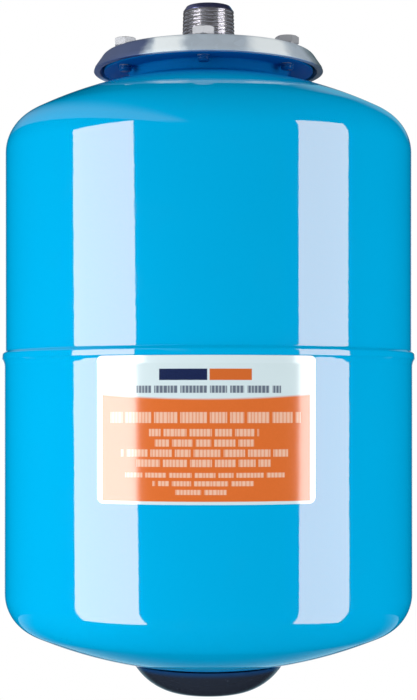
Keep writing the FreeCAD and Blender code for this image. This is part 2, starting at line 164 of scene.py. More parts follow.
class NippleSizes(bpy.types.PropertyGroup):
    """Sizes of the threaded nipple."""

    around: count("Segments", "Segments round the thread", 144)
    radius: length("Radius", "Radius over the thread's crests at the foot", 13.2)
    taper: amount("Taper", "Loss of radius for each unit of length", 1 / 32)
    bore: length("Bore", "Radius of the bore", 9.5)
    bore_chamfer: length("Bore Chamfer", "Chamfer of the bore's mouth", 0.8)
    spigot: length("Spigot", "Radius of the spigot in the cover's hole", 13.5)
    top: height("Top", "Height of the nipple's end", 23.6)
    lead: height("Lead", "Height where the end's chamfer starts", 21.2)
    lead_radius: length("Lead Radius", "Radius of the nipple's end", 10.9)
    pitch: length("Pitch", "Distance between the thread's crests", 1.8143)
    depth: length("Depth", "Depth of the thread", 0.6)
    thread_foot: height("Thread Foot", "Height where the thread starts", 0.3)
    run_out: length("Run-out", "How far the thread runs on into the end's chamfer", 0.3)
    shoulder: length("Shoulder", "Radius of the shoulder under the cover", 16.5)
    shoulder_under: height("Shoulder Underside", "Height of the shoulder's underside", -5.5)
    rows_a_pitch: count("Rows", "Rows of points along one pitch of the thread", 12)


class BoltSizes(bpy.types.PropertyGroup):
    """Sizes of the hexagon bolts in the cover."""

    around: count("Segments", "Segments round a bolt", 72)
    number: count("Bolts", "Bolts round the cover", 6)
    circle: length("Circle", "Radius of the bolt circle", 45.0)
    first: angle("First Angle", "Place of the first bolt round the cover", -93.0)
    twist: angle("Twist", "How much further each head is turned than the last", 25.0)
    flats: length("Flats", "Distance across the head's flats", 10.0)
    head: length("Head", "Height of the head", 4.0)
    top_circle: length("Top Circle", "Radius of the flat top of the head", 4.7)
    dish: length("Dish", "How deep the head's top is dished", 0.15)
    washer_face: length("Washer Face", "Height of the turned face under the head", 0.3)
    washer_circle: length("Washer Circle", "Radius of the turned face under the head", 4.75)
    chamfer: angle("Chamfer", "Slope of the chamfer on the head", 30.0)
    radius: length("Radius", "Radius of the thread", 3.0)
    pitch: length("Pitch", "Distance between the thread's crests", 1.0)
    depth: length("Depth", "Depth of the thread", 0.5)
    under: length("Length", "Length under the head", 12.0)
    plain: length("Plain Shank", "Length under the head that has no thread", 4.0)
    point: length("Point", "Chamfer of the shank's end", 0.6)


class BladderSizes(bpy.types.PropertyGroup):
    """Sizes of the rubber bladder."""

    around: count("Segments", "Segments round the bladder", 128)
    wall: length("Wall", "Thickness of the rubber", 2.0)
    mouth: length("Mouth", "Outside radius of the mouth", 37.75)
    bead: length("Bead", "Outside radius of the clamped bead", 41.8)
    bead_top: height("Bead Top", "Height of the bead's top", -3.05)
    bead_under: height("Bead Underside", "Height where the bead rests on the lip", -7.75)
    bead_round: length("Bead Round", "Radius of the bead's upper edge", 0.6)
    bead_foot: length("Bead Foot", "Radius of the bead's lower edge", 0.5)
    mouth_round: length("Mouth Round", "Radius where the mouth leaves the bead", 2.0)
    mouth_end: height("Mouth End", "Height where the bag starts to widen", -29.8)
    flare: length("Flare", "Radius where the bag starts to widen", 14.0)
    bag: length("Bag", "Outside radius of the bag", 64.0)
    bag_top: height("Bag Top", "Height where the bag is at its widest", -69.8)
    bag_bottom: height("Bag Bottom", "Height where the bag starts to close", -195.8)
    bag_round: length("Bag Round", "Radius of the bag's shoulders", 40.0)
    end: length("End", "Radius of the bag's flat end", 24.0)
    end_height: height("End Height", "Height of the bag's end", -243.8)
    end_round: length("End Round", "Radius of the end's edge", 18.0)


class ValveSizes(bpy.types.PropertyGroup):
    """Sizes of the air valve's cap and spring and of the black cover over it."""

    cover_around: count("Segments", "Segments round the black cover", 160)
    cover_end: height("Cover End", "Height of the black cover's end", -315.1239)
    cover_flat: length("Cover Flat", "Radius of the flat end of the black cover", 11.0)
    cover_round: length("Cover Round", "Radius between the flat end and the wall", 30.0)
    cover_slope: angle("Cover Slope", "Slope of the black cover's wall", 35.0)
    cover_rim_radius: length("Rim Radius", "Outside radius of the black cover's rim", 37.02)
    cover_rim: height("Rim", "Height of the black cover's rim", -300.27)
    cover_wall: length("Cover Wall", "Thickness of the black cover", 1.6)
    fingers: count("Fingers", "Fingers that hold the black cover on the nut", 4)
    finger_radius: length("Finger Radius", "Inside radius of the fingers", 8.383)
    finger_steps: count("Finger Segments", "Segments round a finger", 16)
    finger_wall: length("Finger Wall", "Thickness of a finger", 1.4)
    finger_angle: angle("Finger Angle", "How far a finger reaches round", 58.0)
    finger_foot: height("Finger Foot", "Height where the fingers leave the cover", -314.3)
    finger_top: height("Finger Top", "Height of the fingers' ends", -296.9939)
    finger_round: length("Finger Round", "Radius of a finger's outer corner", 0.5)
    finger_lead: length("Finger Lead", "Radius of a finger's inner corner", 0.3)
    cap_around: count("Cap Segments", "Segments round the dust cap", 96)
    cap_radius: length("Cap Radius", "Outside radius of the dust cap", 5.2)
    cap_bore: length("Cap Bore", "Inside radius of the dust cap", 3.9)
    cap_top: height("Cap Top", "Height of the dust cap's open end", -302.7939)
    cap_inside: height("Cap Inside", "Height of the dust cap's inner floor", -311.7939)
    cap_end: height("Cap End", "Height of the dust cap's closed end", -312.8939)
    cap_round: length("Cap Round", "Radius of the closed end's edge", 0.5)
    cap_lip: length("Cap Lip", "Radius of the open end's two corners", 0.2)
    ribs: count("Ribs", "Grip ribs round the dust cap", 18)
    rib: length("Rib", "Height of a grip rib", 0.35)
    rib_width: length("Rib Width", "Width of a grip rib at its foot", 0.64)
    coil: length("Coil", "Radius of the spring's coil", 0.93)
    wire: length("Wire", "Radius of the spring's wire", 0.15)
    coil_turns: amount("Turns", "Turns of the spring", 6.0)
    coil_foot: height("Coil Foot", "Height of the spring's lower end", -304.0439)
    coil_top: height("Coil Top", "Height of the spring's upper end", -293.0439)
    coil_stop: height("Coil Stop", "Height of the shoulder that the spring rests on", -292.8939)


class LabelSizes(bpy.types.PropertyGroup):
    """Sizes of the label on the lower shell."""

    half_angle: angle("Half Angle", "How far the label reaches round to each side", 28.85)
    centre: angle("Centre", "Place of the label's middle round the tank", -90.65)
    top: height("Top", "Height of the label's top", -151.2796)
    bottom: height("Bottom", "Height of the label's bottom", -216.7796)
    top_radius: length("Top Radius", "Inside radius of the label's top edge, on the weld", 101.16)
    radius: length("Radius", "Inside radius of the label on the wall", 100.22)
    paper: length("Paper", "Thickness of the label", 0.25)
    corner: length("Corner", "Radius of the label's corners", 3.0)
    columns: count("Columns", "Columns of faces across the label", 64)
    rows: count("Rows", "Rows of faces between the weld and the lower corners", 16)


class Colours(bpy.types.PropertyGroup):
    """Colours of the finishes."""

    paint: colour("Paint", "Sky-blue paint of the shells", 0.0, 0.42, 0.79)
    zinc: colour("Zinc", "Galvanised plate of the cover", 0.67, 0.78, 0.89)
    # Painted highlight on the front stretches of the cover's skirt
    bright_zinc: colour("Bright Zinc", "Stretches of the cover's skirt that stay bright", 0.80, 0.86, 0.88)
    # Painted shade on the right of the cover's skirt
    grey_zinc: colour("Grey Zinc", "Dull stretch at the back of the cover's skirt", 0.13, 0.18, 0.20)
    # Painted reflection: dark blue-violet at the left of the cover's skirt
    zinc_dark_reflection: colour("Tarnish", "Tarnished stretch at the left of the cover's skirt", 0.055, 0.09, 0.25)
    steel: colour("Steel", "Turned steel of the nipple", 0.84, 0.82, 0.87)
    # Painted reflection: blue on the chamfered end of the nipple
    tip: colour("Tip", "Blue tint of the nipple's end", 0.20, 0.22, 0.48)
    plating: colour("Plating", "Zinc plate of the bolts", 0.54, 0.55, 0.58)
    # Painted reflection and shade: dark blue on the bolts' ends under the lip
    bolt_ends: colour("Bolt Ends", "Paint on the bolts' ends under the lip", 0.0, 0.10, 0.34)
    ring: colour("Ring", "Plain plate of the threaded ring", 0.42, 0.43, 0.45)
    brass: colour("Brass", "Brass of the air valve", 0.69, 0.47, 0.17)
    rubber: colour("Rubber", "Rubber of the bladder and the seals", 0.018, 0.018, 0.020)
    black: colour("Black", "Black plastic of the valve's cover and cap", 0.018, 0.024, 0.038)
    # Painted reflection: the blue shell mirrored on the black cover's rim
    rim: colour("Rim", "Blue tint of the black cover's rim under the painted shell", 0.006, 0.045, 0.14)
    orange: colour("Orange", "Lower field of the label", 0.75, 0.165, 0.030)
    paper: colour("Paper", "White of the label", 0.68, 0.82, 0.86)
    navy: colour("Navy", "Dark print on the label", 0.012, 0.022, 0.085)
    cream: colour("Cream", "Pale print on the orange field", 0.98, 0.80, 0.64)


class StageSizes(bpy.types.PropertyGroup):
    """Sizes and levels of the stage."""

    camera_distance: length("Camera Distance", "From the tank's axis to the camera", 850.0)
    eye_level: height("Eye Level", "Height of the camera", -173.1)
    lens: amount("Lens", "Focal length of the camera in millimetres", 88.34)
    shift: amount("Shift", "How far the picture is shifted up", 0.0786)
    floor: height("Floor", "Height of the floor", -760.0)
    floor_radius: length("Floor Radius", "Radius of the floor", 1500.0)
    floor_tone: colour("Floor Tone", "Pale grey of the floor", 0.86, 0.86, 0.86)
    left_near: spot("Left Near", "Edge of the left softbox that is nearer to the camera", -312, -443.5)
    left_far: spot("Left Far", "Far edge of the left softbox", -699, -212)
    right_near: spot("Right Near", "Edge of the right softbox that is nearer to the camera", 419.6, -409)
    right_far: spot("Right Far", "Far edge of the right softbox", 562, -139.5)
    box_foot: height("Softbox Foot", "Height of the softboxes' lower edge", -560.0)
    left_top: height("Left Top", "Height of the left softbox's upper edge", 110.0)
    right_top: height("Right Top", "Height of the right softbox's upper edge", 165.0)
    left_lean: angle("Left Lean", "How far the left softbox leans outwards", 5.0)
    left_level: amount("Left Level", "Brightness of the left softbox", 3.2)
    right_level: amount("Right Level", "Brightness of the right softbox", 2.75)
    sky_level: amount("Sky Level", "Brightness of the room", 0.58)
    panel_level: amount("Panel Level", "Brightness of the pale ceiling panel at the left", 0.25)
    rim_level: amount("Rim Level", "Brightness of the bluish panel behind the right shoulder", 0.56)
    floor_level: amount("Floor Level", "Light that the far floor gives back", 1.3)


# Outlines in the RZ plane, as lists of (radius, height)


def arc(centre, radius, start, end, steps):
    """Points along an arc, with its ends; the angles run from outwards towards up, in degrees."""
    points = []
    for k in range(steps + 1):
        turn = math.radians(start + (end - start) * k / steps)
        points.append((centre[0] + radius * math.cos(turn), centre[1] + radius * math.sin(turn)))
    return points


def bent(corners, step=12.0):
    """A line through (radius, height, bend radius) corners, with an arc at each that has a bend."""
    points = []
    for k, (r, z, bend) in enumerate(corners):
        if not bend:
            points.append((r, z))
            continue
        before, after = corners[k - 1], corners[(k + 1) % len(corners)]
        into = math.atan2(z - before[1], r - before[0])
        out = math.atan2(after[1] - z, after[0] - r)
        turn = (out - into + math.pi) % TURN - math.pi
        reach = bend * math.tan(abs(turn) / 2)
        side = math.copysign(1, turn)
        start = (r - reach * math.cos(into), z - reach * math.sin(into))
        centre = (start[0] - side * bend * math.sin(into), start[1] + side * bend * math.cos(into))
        first = math.degrees(into) - side * 90
        steps = max(2, round(abs(math.degrees(turn)) / step))
        points += arc(centre, bend, first, first + math.degrees(turn), steps)
    return points


def beside(face, thickness):
    """The line that lies a thickness to the right of another, with mitred corners."""
    points = []
    for k, (r, z) in enumerate(face):
        before = face[max(k - 1, 0)]
        after = face[min(k + 1, len(face) - 1)]
        into = math.atan2(z - before[1], r - before[0]) if k else None
        out = math.atan2(after[1] - z, after[0] - r) if k < len(face) - 1 else into
        into = out if into is None else into
        half = ((out - into + math.pi) % TURN - math.pi) / 2
        way = into + half - math.pi / 2
        reach = thickness / math.cos(half)
        points.append((max(r + reach * math.cos(way), 0), z + reach * math.sin(way)))
    return points


def sheet(face, thickness):
    """The closed outline of a sheet whose metal lies to the right of a face."""
    return face + beside(face, thickness)[::-1]


# Meshes


def add_object(name, data):
    """A new object in the scene that holds a mesh, a lamp or a lens."""
    made = bpy.data.objects.new(name, data)
    bpy.context.scene.collection.objects.link(made)
    return made


def make_object(name, vertices, faces, sharp=35.0):
    """A closed piece with its faces outwards and its edges sharp above an angle."""
    mesh = bpy.data.meshes.new(name)
    mesh.from_pydata(vertices, [], faces)
    work = bmesh.new()
    work.from_mesh(mesh)
    bmesh.ops.remove_doubles(work, verts=work.verts, dist=1e-6)
    bmesh.ops.dissolve_degenerate(work, edges=work.edges, dist=1e-7)
    bmesh.ops.recalc_face_normals(work, faces=work.faces)
    work.to_mesh(mesh)
    work.free()
    mesh.shade_smooth()
    mesh.set_sharp_from_angle(angle=math.radians(sharp))
    return add_object(name, mesh)


def turned(name, rows, around, start=0.0, sweep=TURN, closed=True, sharp=35.0):
    """A skin over rings of points round the Z axis; a row is (radius, height), or gives it for an angle."""
    full = sweep >= TURN
    columns = around if full else around + 1
    vertices, rings, faces = [], [], []
    for row in rows:
        if not callable(row) and row[0] <= ON_AXIS:
            rings.append([len(vertices)] * columns)
            vertices.append((0, 0, row[1]))
            continue
        rings.append(list(range(len(vertices), len(vertices) + columns)))
        for k in range(columns):
            turn = start + sweep * k / around
            r, z = row(turn) if callable(row) else row
            vertices.append((r * math.cos(turn), r * math.sin(turn), z))
    pairs = list(zip(rings, rings[1:]))
    if closed:
        pairs.append((rings[-1], rings[0]))
    for ring, following in pairs:
        for k in range(columns if full else around):
            after = (k + 1) % columns
            corners = [ring[k], ring[after], following[after], following[k]]
            distinct = list(dict.fromkeys(corners))
            if len(distinct) > 2:
                faces.append(distinct)
    if not full:
        faces += [[ring[0] for ring in rings][::-1], [ring[-1] for ring in rings]]
    return make_object(name, vertices, faces, sharp)


def merged(name, *pieces):
    """One piece made of several."""
    work = bmesh.new()
    for piece in pieces:
        work.from_mesh(piece.data)
        bpy.data.objects.remove(piece)
    mesh = bpy.data.meshes.new(name)
    work.to_mesh(mesh)
    work.free()
    return add_object(name, mesh)


def thread_rows(low, high, rows_a_pitch, pitch, depth, crest):
    """Rows of a right-handed thread that fades out at both ends; crest gives the radius over the crests."""
    rows = []
    number = max(2, round((high - low) / pitch * rows_a_pitch))
    fade = 0.6 * pitch
    for k in range(number + 1):
        z = low + (high - low) * k / number
        ends = min(1.0, (z - low) / fade, (high - z) / fade)

        def row(turn, z=z, ends=ends):
            # Flat crests and valleys with straight flanks between them
            phase = (z / pitch - turn / TURN) % 1.0
            valley = min(1.0, max(0.0, abs(2 * phase - 1) * 2.2 - 1.1))
            return crest(z) - depth * ends * valley, z

        rows.append(row)
    return rows


# Node trees


class Wire:
    """A value on its way through a tree; sums and products of it add Math nodes."""

    def __init__(self, nodes, socket):
        self.nodes = nodes
        self.socket = socket

    def maths(self, operation, other, clamp=False):
        settings = {"operation": operation, "use_clamp": clamp}
        return self.nodes.node("ShaderNodeMath", settings, {0: self, 1: other})

    def __add__(self, other):
        return self.maths("ADD", other)

    __radd__ = __add__

    def __mul__(self, other):
        return self.maths("MULTIPLY", other)

    __rmul__ = __mul__

    def __sub__(self, other):
        return self.maths("SUBTRACT", other)

    def __rsub__(self, other):
        return self.nodes.node("ShaderNodeMath", {"operation": "SUBTRACT"}, {0: other, 1: self})

    def __abs__(self):
        return self.maths("ABSOLUTE", 0.0)

    def least(self, other):
        return self.maths("MINIMUM", other)

    def most(self, other):
        return self.maths("MAXIMUM", other)

    def between(self, low, high):
        """0 below low, 1 above high, and a smooth rise from one to the other."""
        settings = {"interpolation_type": "SMOOTHSTEP"}
        sockets = {"Value": self, "From Min": low, "From Max": high}
        return self.nodes.node("ShaderNodeMapRange", settings, sockets)

    def within(self, start, full, fall, end):
        """0 before start, 1 from full to fall, and 0 again after end."""
        return self.between(start, full) * (1 - self.between(fall, end))


class Nodes:
    """A node tree whose nodes all come from one method."""

    def __init__(self, tree):
        self.tree = tree

    def node(self, kind, settings=None, sockets=None, output=0):
        """One node: its settings first, then the values or links of its sockets."""
        made = self.tree.nodes.new(kind)
        for key, value in (settings or {}).items():
            setattr(made, key, value)
        for key, value in (sockets or {}).items():
            if isinstance(value, Wire):
                self.tree.links.new(value.socket, made.inputs[key])
            else:
                made.inputs[key].default_value = value
        return Wire(self, made.outputs[output]) if made.outputs else None


class Tree(Nodes):
    """A Geometry Nodes tree with named inputs."""

    def __init__(self, name):
        super().__init__(bpy.data.node_groups.new(name, "GeometryNodeTree"))
        self.inputs = {}
        self.tree.interface.new_socket("Geometry", in_out="OUTPUT", socket_type="NodeSocketGeometry")
        self.entry = self.tree.nodes.new("NodeGroupInput")
        self.exit = self.tree.nodes.new("NodeGroupOutput")

    def input(self, name, kind):
        """A new input of the tree, and the wire that carries it."""
        made = self.tree.interface.new_socket(name, in_out="INPUT", socket_type=kind)
        self.inputs[name] = made.identifier
        return Wire(self, next(s for s in self.entry.outputs if s.identifier == made.identifier))

    def finish(self, geometry, material):
        """Ends the tree in Realize Instances and Set Material."""
        real = self.node("GeometryNodeRealizeInstances", None, {0: geometry})
        painted = self.node("GeometryNodeSetMaterial", None, {"Geometry": real, "Material": material})
        self.tree.links.new(painted.socket, self.exit.inputs[0])

    def make(self, name, start, values):
        """Runs the tree on an object and gives the result as a plain mesh object."""
        holder = start or add_object(name, bpy.data.meshes.new(name))
        modifier = holder.modifiers.new(name, "NODES")
        modifier.node_group = self.tree
        for key, value in values.items():
            modifier[self.inputs[key]] = value
        seen = holder.evaluated_get(bpy.context.evaluated_depsgraph_get())
        mesh = bpy.data.meshes.new_from_object(seen)
        mesh.name = name
        holder.modifiers.remove(modifier)
        bpy.data.objects.remove(holder)
        return add_object(name, mesh)


def round_a_circle(name, piece, number, radius, first, material, twist=0.0):
    """Copies of a piece round the Z axis that face outwards, each turned a twist further than the last."""
    tree = Tree(name)
    geometry = tree.input("Geometry", "NodeSocketGeometry")
    copies = tree.input("Copies", "NodeSocketInt")
    reach = tree.input("Radius", "NodeSocketFloat")
    start = tree.input("First Angle", "NodeSocketFloat")
    each = tree.input("Twist", "NodeSocketFloat")
    finish = tree.input("Material", "NodeSocketMaterial")
    index = tree.node("GeometryNodeInputIndex")
    step = tree.node("ShaderNodeMath", {"operation": "DIVIDE"}, {0: TURN, 1: copies})
    turn = tree.node("ShaderNodeMath", {"operation": "MULTIPLY_ADD"}, {0: index, 1: step, 2: start})
    across = tree.node("ShaderNodeMath", {"operation": "COSINE"}, {0: turn})
    along = tree.node("ShaderNodeMath", {"operation": "SINE"}, {0: turn})
    way = tree.node("ShaderNodeCombineXYZ", None, {"X": across, "Y": along})
    place = tree.node("ShaderNodeVectorMath", {"operation": "SCALE"}, {0: way, "Scale": reach})
    points = tree.node("GeometryNodePoints", None, {"Count": copies, "Position": place})
    twisted = tree.node("ShaderNodeMath", {"operation": "MULTIPLY_ADD"}, {0: index, 1: each, 2: turn})
    facing = tree.node("ShaderNodeCombineXYZ", None, {"Z": twisted})
    set_out = tree.node(
        "GeometryNodeInstanceOnPoints", None, {"Points": points, "Instance": geometry, "Rotation": facing}
    )
    tree.finish(set_out, finish)
    values = {"Copies": number, "Radius": radius, "First Angle": first, "Twist": twist}
    return tree.make(name, piece, {**values, "Material": material})


def wound_wire(name, radius, wire, turns, low, high, material):
    """A wire coil about the Z axis."""
    tree = Tree(name)
    reach = tree.input("Coil Radius", "NodeSocketFloat")
    thick = tree.input("Wire Radius", "NodeSocketFloat")
    rounds = tree.input("Turns", "NodeSocketFloat")
    foot = tree.input("Foot", "NodeSocketFloat")
    rise = tree.input("Rise", "NodeSocketFloat")
    finish = tree.input("Material", "NodeSocketMaterial")
    path = tree.node(
        "GeometryNodeCurveSpiral",
        None,
        {"Resolution": 24, "Rotations": rounds, "Start Radius": reach, "End Radius": reach, "Height": rise},
    )
    section = tree.node("GeometryNodeCurvePrimitiveCircle", None, {"Resolution": 8, "Radius": thick})
    tube = tree.node(
        "GeometryNodeCurveToMesh", None, {"Curve": path, "Profile Curve": section, "Fill Caps": True}
    )
    lift = tree.node("ShaderNodeCombineXYZ", None, {"Z": foot})
    raised = tree.node("GeometryNodeTransform", None, {"Geometry": tube, "Translation": lift})
    tree.finish(raised, finish)
    values = {"Coil Radius": radius, "Wire Radius": wire, "Turns": turns, "Foot": low}
    return tree.make(name, None, {**values, "Rise": high - low, "Material": material})


# Finishes


class Finish(Nodes):
    """The node tree of a material or of the world."""

    def __init__(self, holder):
        holder.use_nodes = True
        super().__init__(holder.node_tree)
        self.holder = holder
        self.tree.nodes.clear()

    def place(self):
        """Where a point is on the tank, in metres."""
        return self.node("ShaderNodeTexCoord", None, None, "Object")

    def parts(self, vector):
        """The three numbers of a vector."""
        made = self.node("ShaderNodeSeparateXYZ", None, {0: vector}).socket.node
        return [Wire(self, socket) for socket in made.outputs]

    def noise(self, place, scale, detail=2.0, roughness=0.5):
        """Soft noise about 0.5; its scale is in lumps for each metre."""
        sockets = {"Vector": place, "Scale": scale, "Detail": detail, "Roughness": roughness}
        return self.node("ShaderNodeTexNoise", {"noise_dimensions": "3D"}, sockets)

    def mix(self, factor, first, second):
        """A colour between two colours."""
        ends = [(*c, 1.0) if isinstance(c, tuple) else c for c in (first, second)]
        settings = {"data_type": "RGBA", "clamp_factor": True}
        return self.node("ShaderNodeMix", settings, {0: factor, 6: ends[0], 7: ends[1]}, 2)

    def bump(self, relief, distance):
        """A surface raised by a distance in metres where the relief is 1."""
        return self.node("ShaderNodeBump", None, {"Height": relief, "Distance": distance, "Strength": 1.0})

    def shader(self, **sockets):
        """One surface shader; names are its sockets with _ for a space."""
        values = {}
        for key, value in sockets.items():
            title = "IOR" if key == "ior" else key.replace("_", " ").title()
            values[title] = (*value, 1.0) if isinstance(value, tuple) else value
        return self.node("ShaderNodeBsdfPrincipled", None, values)

    def end(self, shader):
        """Ends a material in a shader."""
        self.node("ShaderNodeOutputMaterial", None, {"Surface": shader})
        return self.holder

    def surface(self, **sockets):
        """Ends a material in one surface shader."""
        return self.end(self.shader(**sockets))


# Heights in metres between which a finish changes into another
# Painted shade: the shells' paint turns darker between these heights, round the neck under the cover's lip
NECK_SHADE = (-0.0245, -0.0170)
# Painted shade: the paint turns darker again towards the black cover over the air valve
FOOT_SHADE = (-0.2990, -0.2948)
# Painted reflection on the nipple's chamfered end above these heights
TIP_REFLECTION = (0.0204, 0.0214)
# Below these heights the bolts' ends carry painted reflection and shade
BARE_SHANK = (-0.0093, -0.0090)
# Above these heights the black plastic carries a painted reflection of the blue shell
RIM_REFLECTION = (-0.3035, -0.3005)

# Squares of the radii between which the cover's skirt starts
SKIRT = (0.0024, 0.0027)

# Stretches of the skirt, in radians from the back: where each starts, is full, starts to fall and ends
# Painted dark reflection at the left of the skirt
DARK_REFLECTION_LEFT = (-2.40, -2.28, -1.3, -1.0)
# Painted shade on the right of the skirt
SHADE_RIGHT = (1.2, 1.5, 2.05, 2.42)
# Painted highlights where the skirt faces the two softboxes
HIGHLIGHT_LEFT = (-2.85, -2.7, -2.44, -2.36)
HIGHLIGHT_RIGHT = (2.5, 2.65, 2.9, 3.05)

# Print on the label: left, right, low and high edges in millimetres from the middle of its bottom
FIELD = (-47.6, 47.6, 1.4, 90.0)
NAVY_BAR = (-20.6, 0.6, 54.6, 59.6)
ORANGE_BAR = (1.6, 20.2, 54.6, 59.6)
NAVY_LINE = (-31.0, 33.5, 49.0, 52.2)
PALE_LINES = [
    (-43.5, 43.0, 35.8, 40.6),
    (-25.2, 23.4, 30.0, 33.2),
    (-22.6, 21.2, 25.5, 28.6),
    (-38.4, 36.8, 21.0, 24.2),
    (-31.0, 28.6, 16.6, 19.8),
    (-36.4, 35.2, 11.9, 14.0),
    (-23.6, 21.6, 8.2, 10.4),
    (-13.4, 10.0, 4.4, 6.6),
]

# Upper edge of the orange field: its height in the middle, and its rise for each square millimetre to a side
FIELD_TOP = 46.3
FIELD_SMILE = 0.00092

# Channels of the paint's darker coat, as shares of the paint's own; its darkness is painted shade
SHADED_COAT = (1.0, 0.48, 0.73)


def shade(tone, factor):
    """A colour made darker or lighter."""
    return tuple(min(1.0, channel * factor) for channel in tone)


def new_finish(name):
    """The empty tree of a new material."""
    return Finish(bpy.data.materials.new(name))


def gloss_paint(tone):
    """Smooth gloss paint over drawn sheet, which turns matt and darker round the neck and the air valve; the
    darker colour there is painted shade.
    """
    f = new_finish("gloss_paint")
    place = f.place()
    drift = f.noise(place, 9.0, 2.0)
    peel = f.noise(place, 420.0, 2.0)
    sag = f.noise(place, 28.0, 1.0)
    smudge = f.noise(place, 60.0, 4.0, 0.6).between(0.5, 0.75)
    z = f.parts(place)[2]
    normal = f.bump(peel * 0.10 + sag * 0.9, 0.00006)
    gloss = f.shader(
        base_color=f.mix(drift, shade(tone, 0.96), shade(tone, 1.04)),
        roughness=smudge * 0.03 + 0.035,
        ior=2.5,
        specular_tint=(1.0, 0.62, 0.36),
        normal=normal,
    )
    # The darker colour of the matt coat is painted shade under the lip and round the black cover
    shaded_tone = tuple(channel * share for channel, share in zip(tone, SHADED_COAT))
    matt = f.shader(base_color=f.mix(drift, shade(shaded_tone, 0.9), shaded_tone), roughness=0.6, ior=1.1, normal=normal)
    # Painted shade: where the darker matt coat takes over from the gloss
    painted_shade = z.between(*NECK_SHADE).most((1 - z.between(*FOOT_SHADE)) * 0.7)
    return f.end(f.node("ShaderNodeMixShader", None, {0: painted_shade, 1: gloss, 2: matt}))


def zinc_plate(tone, highlight_tone, shade_tone, zinc_dark_reflection):
    """Galvanised plate with faint crystals and small scuffs; stretches of its skirt carry painted highlights,
    painted shade on the right and a painted dark reflection on the left.
    """
    f = new_finish("zinc_plate")
    place = f.place()
    crystals = f.node("ShaderNodeTexVoronoi", {"feature": "F1"}, {"Vector": place, "Scale": 260.0}, "Color")
    patch = f.node("ShaderNodeRGBToBW", None, {0: crystals})
    cloud = f.noise(place, 45.0, 4.0, 0.6)
    scuff = f.noise(place, 700.0, 2.0)
    base = f.mix(patch * 0.5 + cloud * 0.5, shade(tone, 0.86), shade(tone, 1.10))
    x, y = f.parts(place)[:2]
    turn = x.maths("ARCTAN2", y) + cloud * 0.4
    skirt = (x * x + y * y).between(*SKIRT)
    # Painted dark reflection at the skirt's left
    reflected_left = turn.within(*DARK_REFLECTION_LEFT) * skirt
    # Painted shade on the skirt's right side
    grey = turn.within(*SHADE_RIGHT) * skirt
    # Painted highlights on the skirt's front stretches
    bright = turn.within(*HIGHLIGHT_LEFT).most(turn.within(*HIGHLIGHT_RIGHT)) * skirt
    base = f.mix(bright, base, highlight_tone)
    base = f.mix(grey, base, shade_tone)
    return f.surface(
        base_color=f.mix(reflected_left * 0.9, base, zinc_dark_reflection),
        metallic=(1 - bright) * 0.45,
        roughness=patch * 0.06 + cloud * 0.10 + 0.40,
        normal=f.bump(scuff * 0.5 + cloud, 0.00004),
    )


def turned_steel(name, tone, roughness, lines, metallic=1.0, tip=None):
    """Turned metal with fine rings, as many lines for each metre of height, and a painted blue reflection on
    its tip if given.
    """
    f = new_finish(name)
    place = f.place()
    z = f.parts(place)[2]
    sockets = {"W": z, "Scale": lines, "Detail": 2.0}
    rings = f.node("ShaderNodeTexNoise", {"noise_dimensions": "1D"}, sockets)
    cloud = f.noise(place, 160.0, 3.0)
    base = f.mix(cloud, shade(tone, 0.88), shade(tone, 1.08))
    if tip:
        # Painted blue reflection on the nipple's chamfered end
        base = f.mix(z.between(*TIP_REFLECTION), base, tip)
    return f.surface(
        base_color=base,
        metallic=metallic,
        roughness=cloud * 0.08 + roughness,
        normal=f.bump(rings, 0.00001),
    )


def plated_steel(name, tone, roughness, metallic, painted=None):
    """Bright zinc plate over steel, a little blotched; ends that reach under the lip may take a dark blue
    that is painted reflection and painted shade.
    """
    f = new_finish(name)
    place = f.place()
    cloud = f.noise(place, 240.0, 4.0, 0.6)
    pits = f.noise(place, 1500.0, 2.0)
    base = f.mix(cloud, shade(tone, 0.82), shade(tone, 1.12))
    if painted:
        # Dark blue on the ends is painted reflection of the blue shell and painted shade under the lip
        bare = f.parts(place)[2].between(*BARE_SHANK)
        base = f.mix(bare, painted, base)
        metallic = bare * metallic
    return f.surface(
        base_color=base,
        metallic=metallic,
        roughness=cloud * 0.14 + roughness,
        normal=f.bump(pits * 0.4 + cloud, 0.00003),
    )


def moulded_rubber(name, tone, roughness):
    """Matt black rubber with a dusty bloom."""
    f = new_finish(name)
    place = f.place()
    bloom = f.noise(place, 55.0, 4.0, 0.6)
    grain = f.noise(place, 1800.0, 2.0)
    return f.surface(
        base_color=f.mix(bloom, tone, shade(tone, 2.4)),
        roughness=bloom * 0.15 + roughness,
        normal=f.bump(grain, 0.00003),
    )


def black_plastic(name, tone, rim, roughness):
    """Moulded black plastic with faint flow marks, a few scuffs and a painted blue reflection on its rim."""
    f = new_finish(name)
    place = f.place()
    flow = f.noise(place, 70.0, 3.0, 0.55)
    scuff = f.noise(place, 500.0, 4.0, 0.7).between(0.56, 0.72)
    # Painted reflection of the blue shell near the rim
    rim_reflected = f.parts(place)[2].between(*RIM_REFLECTION)
    base = f.mix(scuff * 0.5, tone, shade(tone, 2.0))
    return f.surface(
        base_color=f.mix(rim_reflected, base, rim),
        roughness=flow * 0.10 + scuff * 0.12 + roughness,
        normal=f.bump(flow + scuff * 0.06, 0.00005),
    )


def bar(across, up, left, right, low, high):
    """1 inside a rectangle of the label and 0 outside it, all in millimetres."""
    wide = (right - left) / 2 - abs(across - (left + right) / 2)
    tall = (high - low) / 2 - abs(up - (low + high) / 2)
    return (wide.least(tall) * 4.0).maths("ADD", 0.5, clamp=True)


